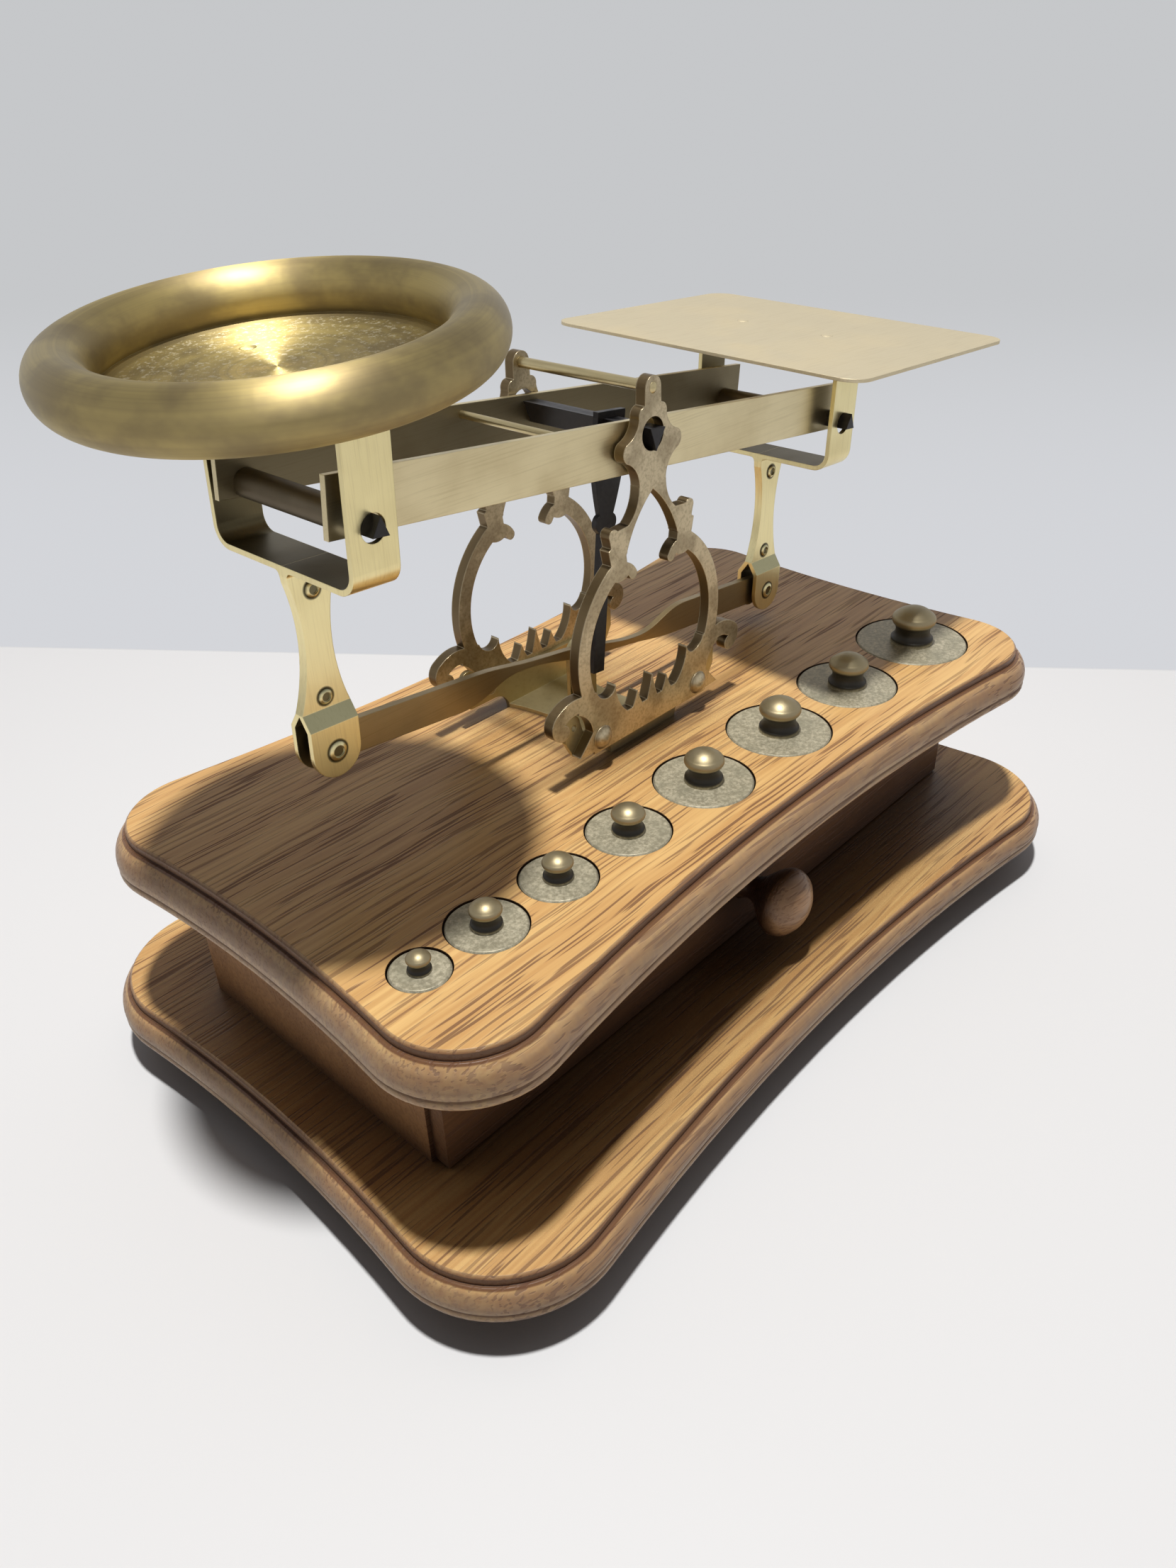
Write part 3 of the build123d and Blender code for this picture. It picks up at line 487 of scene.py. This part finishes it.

# %% [markdown]
# ## The two boards
#
# Both boards are golden oak with the same moulding: a step below the top, a wide round, a quirk,
# which is a narrow groove, and a thin bead at the underside. One finish for both would be less
# work, but the lines of painted shade are counted from each board's own top and underside. So each
# board has a finish of its own, which is also cut from another part of the noise.

# %% Golden oak for the boards
step_depth = 0.0023
step_line_half = 0.0012
quirk_height = 0.0025


def shade_lines_of(low, high):
    """Height, half width and strength of each line of painted shade round the edge of a board."""
    step_foot = high.z - step_depth
    quirk = low.z + quirk_height
    return [
        (high.z - step_line_half, step_line_half, 0.8),
        (step_foot, 0.0005, 0.9),
        (quirk, 0.0006, 0.6),
        ((step_foot + quirk) / 2, 0.0022, 0.35),
    ]


top_low, top_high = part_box("top_board")
base_low, base_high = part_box("bottom_board")
varnished = {"roughness": 0.40, "coat": 0.12, "edge_shading": 0.6}
top_shade_lines = shade_lines_of(top_low, top_high)
base_shade_lines = shade_lines_of(base_low, base_high)
use(["top_board"], oak("top_oak", golden, tan, shift=0.0, shade_lines=top_shade_lines, **varnished))
use(["bottom_board"], oak("base_oak", golden, tan, shift=0.31, shade_lines=base_shade_lines, **varnished))
print("top board from", round(top_low.z * 1000, 2), "to", round(top_high.z * 1000, 2), "mm")

# %% [markdown]
# ## Box, drawer and plinth
#
# The box under the top board and the drawer front are given darker colours than the two boards, as
# painted shade, for they stand under the overhang of the top board. The plinth is darker still. The
# drawer's inner boards and its guides are plain wood, neither stained nor varnished. Each could get
# a finish of its own, but it is all wood of the same kind, so the oak above serves again in other
# colours, with more or less varnish.

# %% Darker and plain wood
box_names = ["box_left_side", "box_right_side", "box_back"]
inner_names = ["drawer_left_side", "drawer_right_side", "drawer_back", "drawer_bottom"]
inner_names += ["drawer_guide_left", "drawer_guide_right"]

plinth_pale, plinth_deep = (0.16, 0.08, 0.035), (0.10, 0.05, 0.025)
# The box and drawer front colours are darker as painted shade under the top board.
shaded_box_pale, shaded_box_deep = (0.40, 0.20, 0.075), (0.27, 0.125, 0.045)
shaded_front_pale, shaded_front_deep = (0.25, 0.12, 0.05), (0.16, 0.075, 0.03)
knob_pale, knob_deep = (0.40, 0.22, 0.10), (0.27, 0.14, 0.06)
plain_pale, plain_deep, plain_pore = (0.52, 0.36, 0.20), (0.42, 0.27, 0.14), (0.25, 0.15, 0.08)

dull = {"roughness": 0.55, "coat": 0.0}
waxed = {"roughness": 0.42, "coat": 0.1}
glossy = {"roughness": 0.35, "coat": 0.2}
bare = {"roughness": 0.6, "coat": 0.0}

use(["plinth"], oak("plinth_oak", plinth_pale, plinth_deep, shift=0.5, **dull))
use(box_names, oak("box_oak", shaded_box_pale, shaded_box_deep, shift=0.17, **waxed))
use(["drawer_front"], oak("drawer_oak", shaded_front_pale, shaded_front_deep, shift=0.23, **glossy))
use(["drawer_knob"], oak("knob_oak", knob_pale, knob_deep, shift=0.07, **glossy))
use(inner_names, oak("plain_wood", plain_pale, plain_deep, shift=0.4, pore=plain_pore, **bare))

# %% [markdown]
# ## Where brass is rubbed, and where light and shade are painted
#
# Sharp edges are made paler: partly wear from hands and cloths, partly painted highlight. The inner
# faces of the straps and strips are darkened nearly black, as painted shade. The dished heads of
# the rivets are painted dark as shade, and a thin dark ring runs round each head. Masks could be
# painted for all this, but the shape tells each place: a sharp edge, the side that a face looks to,
# or the distance from a rivet.

# %% Rubbed edges and inner faces
mechanism_middle = (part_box("front_frame")[0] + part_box("rear_frame")[1]) / 2


def worn_and_highlit_edges(finish, width):
    """1 on sharp edges and 0 on flat faces."""
    flat = add(finish, "ShaderNodeNewGeometry").outputs["Normal"]
    pair = {0: rounded(finish, width), 1: flat}
    alike = add(finish, "ShaderNodeVectorMath", pair, operation="DOT_PRODUCT").outputs["Value"]
    return between(finish, opposite(finish, alike), 0.02, 0.14)


def inner_side(finish):
    """1 where a face looks towards the balance's own middle plane."""
    place = axes_of(finish, where(finish, (1, 1, 1), mechanism_middle))
    side = sums(finish, "SIGN", place[1])
    inward = times(finish, faces(finish)[1], side, -1.0)
    return between(finish, inward, 0.35, 0.75)


print("middle plane at y =", round(mechanism_middle.y * 1000, 2), "mm")

# %% [markdown]
# ## Rivets and ledges
#
# On a stirrup, what looks up near the knife edge is darkened like the inner faces, as painted
# shade, and the small ledge over the clevis has gone greenish. Two materials on one strap would
# meet in a hard line. Masks made from the slope and the height fade softly, and the dark marks of a
# rivet fade with the distance from its axis.

# %% Painted shade in rivet heads, rings round them, and faces that look up
def rivet_marks(finish, middle, head_radius):
    """1 in the dish and in a ring round the head of a rivet that lies along Y."""
    distance = length_of(finish, where(finish, (1, 0, 1), middle))
    away = sums(finish, "ABSOLUTE", sums(finish, "SUBTRACT", distance, head_radius))
    ring = opposite(finish, between(finish, away, 0.0001, 0.0005))
    # The dish of the head is darkened as painted shade.
    dish = between(finish, distance, head_radius * 0.45, head_radius * 0.62)
    return sums(finish, "MAXIMUM", ring, opposite(finish, dish))


clevis_ledge_from = (0.03, 0.035)


def ledges(finish, knife_height):
    """Faces that look up: those near the knife edge, and the ledge over the clevis."""
    looks_up = between(finish, faces(finish)[2], 0.25, 0.6)
    below_knife = sums(finish, "SUBTRACT", knife_height, axes_of(finish, where(finish))[2])
    far_below = between(finish, below_knife, *clevis_ledge_from)
    over_clevis = times(finish, looks_up, far_below)
    return times(finish, looks_up, opposite(finish, far_below)), over_clevis


print("the clevis ledge starts", clevis_ledge_from[0] * 1000, "mm below the knife edge")

# %% [markdown]
# ## Brushed sheet brass
#
# The beam strips, stirrups, plate and stay are sheet brass rubbed with an abrasive. The rubbing
# leaves fine scratches in one direction. They could be cut as real grooves, but they are far too
# fine for that. Noise that is squeezed hard across their direction and left long along it makes
# them: it drives a very shallow bump and a small change of colour, so highlights spread across
# the scratches as they do on the real metal. Slow clouds of tarnish keep it from looking new.

# %% Brass with scratches in one direction
inner_shade_colour = (0.075, 0.058, 0.032)
clevis_green = (0.21, 0.22, 0.14)
rivet_dark = (0.03, 0.024, 0.015)


def spots(finish, per_metre, detail=3.0, roughness=0.5):
    """Noise that is the same in every direction."""
    return noise(finish, where(finish, (per_metre,) * 3), detail, roughness)


def brushed_brass(
    name, pale, worn, scratch_scale, roughness,
    tarnish=0.35, inside=0.0, knife_height=None, rivets=(),
):
    finish, shader = new_finish(name)
    shader.inputs["Metallic"].default_value = 1.0
    scratches = noise(finish, where(finish, scratch_scale), detail=3.0, roughness=0.6)
    stains = between(finish, spots(finish, 45, detail=4.0), 0.42, 0.75)
    colour = blend(finish, times(finish, stains, tarnish), pale, worn)
    deep_scratches = times(finish, between(finish, scratches, 0.45, 0.8), 0.3)
    colour = blend(finish, deep_scratches, colour, worn)
    # Inner faces are darkened nearly black: painted shade between the two layers.
    inner_shading = times(finish, inner_side(finish), inside)
    if knife_height is not None:
        shaded_near_knife, over_clevis = ledges(finish, knife_height)
        colour = blend(finish, times(finish, over_clevis, 0.7), colour, clevis_green)
        # Faces that look up near the knife edge get the same painted shade.
        inner_shading = sums(finish, "MAXIMUM", inner_shading, times(finish, shaded_near_knife, inside))
    colour = blend(finish, inner_shading, colour, inner_shade_colour)
    # Sharp edges are made paler: partly wear, partly painted highlight.
    colour = blend(finish, times(finish, worn_and_highlit_edges(finish, width=0.0003), 0.5), colour, pale)
    for rivet in rivets:
        low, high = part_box(rivet)
        rivet_mark = rivet_marks(finish, (low + high) / 2, (high.x - low.x) / 2)
        colour = blend(finish, times(finish, rivet_mark, 0.85), colour, rivet_dark)
    rough = scaled(finish, stains, 0.12, roughness)
    connect(finish, shader, {
        "Base Color": colour,
        "Roughness": scaled(finish, inner_shading, 0.15, rough),
        "Normal": grooves(finish, scratches, strength=0.35, depth=0.00002),
    })
    return finish


print("brushed brass ready")

# %% [markdown]
# ## Strips, plate, stay and rods
#
# Each piece was rubbed its own way: the strips, the stay, the rods and the end bars along their
# length, the plate along its shorter side, and the base plate in no direction. One brass for all
# of them would show the same scratches everywhere. Instead three numbers say how finely the
# scratches change along X, Y and Z, and the smallest is the direction in which the abrasive went.
# The plate is the dullest of them, and the stay and the end bars are dark brown: partly brown with
# age, partly painted shade.

# %% Brass for the straight pieces
strip_pale, strip_worn = (0.78, 0.67, 0.41), (0.44, 0.34, 0.17)
plate_pale, plate_worn = (0.70, 0.61, 0.42), (0.50, 0.41, 0.25)
# The stay and end bar colours are dark partly from age and partly as painted shade.
shaded_stay_pale, shaded_stay_worn = (0.36, 0.27, 0.14), (0.17, 0.12, 0.05)
saddle_pale, saddle_worn = (0.50, 0.42, 0.23), (0.30, 0.23, 0.11)
rod_pale, rod_worn = (0.62, 0.52, 0.29), (0.34, 0.25, 0.11)
shaded_bar_pale, shaded_bar_worn = (0.17, 0.135, 0.085), (0.08, 0.06, 0.035)

along_x = (60, 1500, 2600)
along_plate = (90, 2200, 900)
along_y = (900, 90, 900)
no_direction = (700, 700, 700)

strip = brushed_brass("strip_brass", strip_pale, strip_worn, along_x, roughness=0.33, inside=0.8)
plate = brushed_brass(
    "plate_brass", plate_pale, plate_worn, along_plate, roughness=0.56, tarnish=0.3
)
stay = brushed_brass("stay_brass", shaded_stay_pale, shaded_stay_worn, along_x, roughness=0.36, inside=0.8)
saddle = brushed_brass(
    "saddle_brass", saddle_pale, saddle_worn, no_direction, roughness=0.38, tarnish=0.3
)
rod = brushed_brass("rod_brass", rod_pale, rod_worn, along_y, roughness=0.3)
end_bar = brushed_brass("end_rod_brass", shaded_bar_pale, shaded_bar_worn, along_y, roughness=0.42)
use(["beam_strip_front", "beam_strip_rear"], strip)
use(["oblong_plate", "right_foot_rivet_front", "right_foot_rivet_rear"], plate)
use(["lower_stay"], stay)
use(["base_plate", "stay_bracket", "stay_pin"], saddle)
use(["tie_rod", "beam_rod"], rod)
use(["left_end_bar", "right_end_bar"], end_bar)

# %% [markdown]
# ## Stirrups
#
# A stirrup hangs on its knife edge and carries the pan or the plate. It is the brightest brass of
# all and was rubbed from top to bottom. Its rivets could have a finish of their own, but they
# share the one of the straps, so that the ring of dirt round each head runs on over the strap.

# %% Brass for the stirrups
strap_pale, strap_worn = (0.93, 0.81, 0.44), (0.52, 0.40, 0.17)
along_z = (2600, 1500, 70)

for side in ("left", "right"):
    straps = [side + "_strap_front", side + "_strap_rear"]
    rivets = [side + "_upper_rivet", side + "_lower_rivet", side + "_clevis_pin"]
    knife_low, knife_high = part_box(side + "_knife")
    knife_height = (knife_low.z + knife_high.z) / 2
    bright = brushed_brass(
        side + "_strap", strap_pale, strap_worn, along_z, roughness=0.28,
        tarnish=0.3, inside=0.9, knife_height=knife_height, rivets=rivets,
    )
    use(straps + rivets, bright)
    print(side, "knife is", round(knife_height * 1000, 1), "mm high")

# %% [markdown]
# ## The spun pan
#
# The pan was spun on a lathe, so its scratches are circles about its own middle. Distance from
# that middle drives the scratches. The direction of each scratch is also given to the shader as
# its tangent. A highlight is drawn out across the scratches, a quarter turn from that direction,
# and this makes the bright bow-tie that spun metal shows. A light painted into the colour could
# fake it, but it would stay put when the view changes. Pale dust lies on the pan's floor, and the
# rim is browner. The distance from the middle tells these two apart as well.

# %% Circles about the middle of the pan
fine_rings = 2600.0
broad_rings = 330.0


def circling(finish, centre):
    """Distance from an upright axis, and the direction that runs round it."""
    place = where(finish, (1, 1, 0), centre)
    around = moved(finish, "CROSS_PRODUCT", (0, 0, 1), place)
    direction = add(finish, "ShaderNodeVectorMath", {0: around}, operation="NORMALIZE")
    return length_of(finish, place), direction.outputs[0]


def ring_noise(finish, distance, per_metre, detail, roughness=0.5):
    place = add(finish, "ShaderNodeCombineXYZ", {0: times(finish, distance, per_metre)})
    return noise(finish, place.outputs[0], detail, roughness)


print("a fine ring is about", round(1000 / fine_rings, 2), "mm wide")

# %% Spun brass for the pan
pan_pale, pan_worn = (0.70, 0.555, 0.215), (0.24, 0.185, 0.105)
pan_dust = (0.86, 0.80, 0.62)
pan_floor_radius = 0.0293


def spun_brass(name, centre):
    finish, shader = new_finish(name)
    shader.inputs["Metallic"].default_value = 1.0
    shader.inputs["Anisotropic"].default_value = 0.8
    shader.inputs["Anisotropic Rotation"].default_value = 0.25
    distance, direction = circling(finish, centre)
    rings = ring_noise(finish, distance, fine_rings, detail=3.0, roughness=0.6)
    turned = between(finish, ring_noise(finish, distance, broad_rings, detail=2.0), 0.4, 0.6)
    clouds = noise(finish, where(finish, (55, 55, 90)), detail=4.0, roughness=0.6)
    on_rim = between(finish, distance, pan_floor_radius - 0.001, pan_floor_radius)
    dust = between(finish, spots(finish, 1000, roughness=0.7), 0.53, 0.64)
    dusty = times(finish, dust, opposite(finish, on_rim), 0.5)

    stains = times(finish, between(finish, clouds, 0.40, 0.64), 0.6)
    colour = blend(finish, stains, pan_pale, pan_worn)
    deep_rings = times(finish, between(finish, rings, 0.4, 0.75), 0.25)
    for amount in (deep_rings, times(finish, turned, 0.3), times(finish, on_rim, 0.4)):
        colour = blend(finish, amount, colour, pan_worn)
    connect(finish, shader, {
        "Base Color": blend(finish, dusty, colour, pan_dust),
        "Roughness": scaled(finish, dusty, 0.3, 0.5),
        "Tangent": direction,
        "Normal": grooves(finish, rings, strength=0.25, depth=0.00002),
    })
    return finish


pan_low, pan_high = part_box("round_pan")
pan_middle = (pan_low + pan_high) / 2
pan_names = ["round_pan", "left_foot_rivet_front", "left_foot_rivet_rear"]
use(pan_names, spun_brass("pan_brass", pan_middle))
print("pan middle", [round(v * 1000, 1) for v in pan_middle], "mm")

# %% [markdown]
# ## Cast brass
#
# The side frames are castings that were browned and then rubbed, so their flat faces are pale
# and worn while the sides and hollows stay brown. Two finishes could be given to two sets of
# faces, but the border between them would be hard. The way a surface looks tells the two apart
# softly: the frames stand across Y, so what looks along Y is a rubbed face and the rest is brown.
# Small pits from the sand of the mould break up the shine.

# %% Brass for the side frames
def cast_brass(name, rubbed, brown, roughness):
    finish, shader = new_finish(name)
    shader.inputs["Metallic"].default_value = 0.9
    pits = spots(finish, 1300, roughness=0.65)
    clouds = between(finish, spots(finish, 130), 0.36, 0.6)
    flat_face = between(finish, sums(finish, "ABSOLUTE", faces(finish)[1]), 0.55, 0.9)
    between_pits = scaled(finish, between(finish, pits, 0.3, 0.6), 0.4, 0.6)
    rub = times(finish, flat_face, between_pits, scaled(finish, clouds, 0.5, 0.55))
    # Sharp edges are made paler: partly wear, partly painted highlight.
    edge_wear_and_highlight = times(finish, worn_and_highlit_edges(finish, width=0.0005), 0.9)
    rub = sums(finish, "MINIMUM", sums(finish, "MAXIMUM", rub, edge_wear_and_highlight), 1.0)
    connect(finish, shader, {
        "Base Color": blend(finish, rub, brown, rubbed),
        "Roughness": scaled(finish, pits, 0.2, roughness),
        "Normal": grooves(finish, pits, strength=0.25, depth=0.00006),
    })
    return finish


rubbed_face = (0.62, 0.52, 0.34)
browned = (0.17, 0.12, 0.06)
frame_names = ["front_frame", "rear_frame"]
for row in ("front", "rear"):
    frame_names += [row + "_left_rivet", row + "_right_rivet"]
use(frame_names, cast_brass("cast_brass", rubbed_face, browned, roughness=0.28))

# %% [markdown]
# ## Black steel
#
# The knife edges and the pointer are steel, blackened so that they neither shine nor rust. Plain
# black paint would look like plastic. A nearly black metal with a soft, slightly uneven gloss is
# enough to tell that it is steel.

# %% Steel for the knives and the pointer
steel_black = (0.012, 0.011, 0.012)
steel_grey = (0.045, 0.042, 0.042)


def black_steel():
    finish, shader = new_finish("black_steel")
    shader.inputs["Metallic"].default_value = 0.4
    grain = spots(finish, 900)
    connect(finish, shader, {
        "Base Color": blend(finish, grain, steel_black, steel_grey),
        "Roughness": scaled(finish, grain, 0.25, 0.3),
        "Normal": grooves(finish, grain, strength=0.2, depth=0.00004),
    })
    return finish


use(["centre_knife", "left_knife", "right_knife", "pointer"], black_steel())

# %% [markdown]
# ## The weights
#
# Each weight is a turned disc with a knob. The disc has gone grey and speckled, the neck under the
# knob is painted nearly black as painted shade, and the knob is polished by fingers. Three
# materials on one mesh would need its faces sorted. Height above the oak, as a share of the disc's
# radius, tells the three apart on every weight, because all the knobs have the same proportions.

# %% Grey disc, painted shade on the neck, and polished knob
disc_grey, disc_pale, disc_cloud = (0.33, 0.295, 0.20), (0.58, 0.52, 0.37), (0.27, 0.25, 0.17)
# The neck colour is painted shade under the knob.
neck_shade = (0.035, 0.03, 0.02)
knob_brass = (0.34, 0.28, 0.165)
neck_shade_from = (0.02, 0.08)
knob_from = (0.34, 0.42)


def weight_brass(name, radius):
    finish, shader = new_finish(name)
    above_oak = sums(finish, "SUBTRACT", axes_of(finish, where(finish))[2], top_high.z)
    rise = sums(finish, "DIVIDE", above_oak, radius)
    specks = spots(finish, 1100, roughness=0.7)
    clouds = times(finish, between(finish, spots(finish, 160), 0.45, 0.7), 0.5)
    knob = between(finish, rise, *knob_from)
    colour = blend(finish, between(finish, specks, 0.35, 0.7), disc_grey, disc_pale)
    colour = blend(finish, clouds, colour, disc_cloud)
    # The neck under the knob is painted nearly black: painted shade.
    colour = blend(finish, between(finish, rise, *neck_shade_from), colour, neck_shade)
    connect(finish, shader, {
        "Base Color": blend(finish, knob, colour, knob_brass),
        "Metallic": scaled(finish, knob, 0.6, 0.3),
        "Roughness": scaled(finish, specks, 0.25, 0.32),
        "Normal": grooves(finish, specks, strength=0.2, depth=0.00005),
    })
    return finish


for number in range(1, 9):
    node = "weight_%d" % number
    low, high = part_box(node)
    radius = (high.x - low.x) / 2
    use([node], weight_brass(node + "_brass", radius))
    print(node, "is", round(radius * 2000, 1), "mm across")

# %% [markdown]
# ## The size
#
# Nothing was added outside the balance, so the visible model fills the same box as the CAD model.

# %% [markdown]
# ## Counting the pieces
#
# The last call prints how many pieces were imported.

# %% Count the pieces
print("pieces:", len(nodes))
